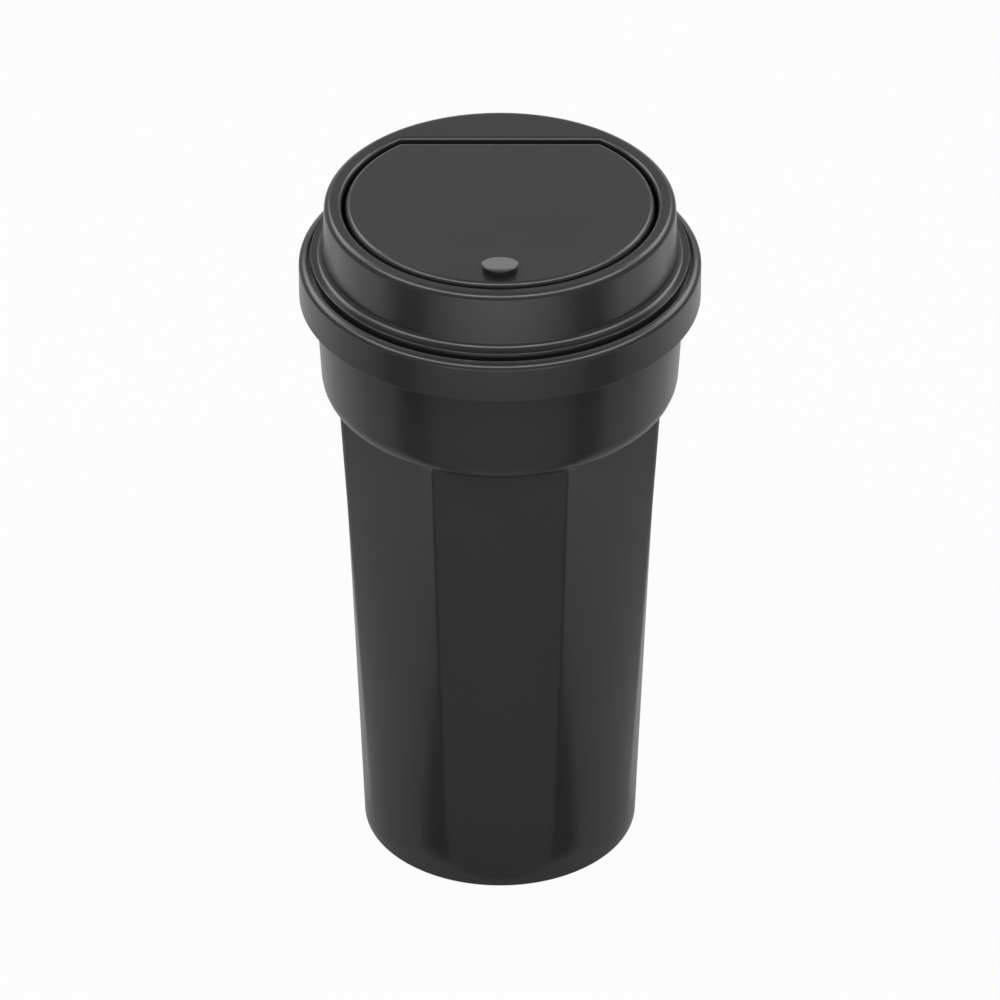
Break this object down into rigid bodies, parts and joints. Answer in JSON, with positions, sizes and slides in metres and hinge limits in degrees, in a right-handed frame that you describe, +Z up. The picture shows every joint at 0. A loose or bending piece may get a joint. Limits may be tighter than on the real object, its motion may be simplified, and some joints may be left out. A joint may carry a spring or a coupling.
{
  "type": "car trash bin",
  "caption": "Cup-shaped car trash bin with a tapered foot, eight-sided grip, stepped shoulder and lift-off lid whose sprung D-shaped flap is pressed inwards to drop litter in.",
  "frame": {"origin": "centre of the foot, on the surface the bin stands on", "axes": "+Z up along the bin, -Y towards the flap's press dot, +X along the flap's hinge pin"},
  "size_m": [0.096, 0.096, 0.1801],
  "materials": {
    "black_plastic": "satin moulded black",
    "spring_steel": "drawn wire"
  },
  "bodies": {
    "bin": {"bin_body": "black_plastic"},
    "lid": {"lid_shell": "black_plastic", "hinge_pin": "spring_steel", "flap_spring": "spring_steel"},
    "flap": {"flap": "black_plastic"}
  },
  "joints": [
    {"name": "lid_lift", "type": "slide", "parent": "bin", "child": "lid", "axis": [0, 0, 1], "range_m": [0, 0.05]},
    {"name": "flap_hinge", "type": "hinge", "parent": "lid", "child": "flap", "pos_m": [0, 0.026, 0.172], "axis": [1, 0, 0], "range_deg": [0, 65], "stiffness_Nm_per_rad": 0.007, "springref_deg": -64.74, "deforming": ["flap_spring"]}
  ]
}
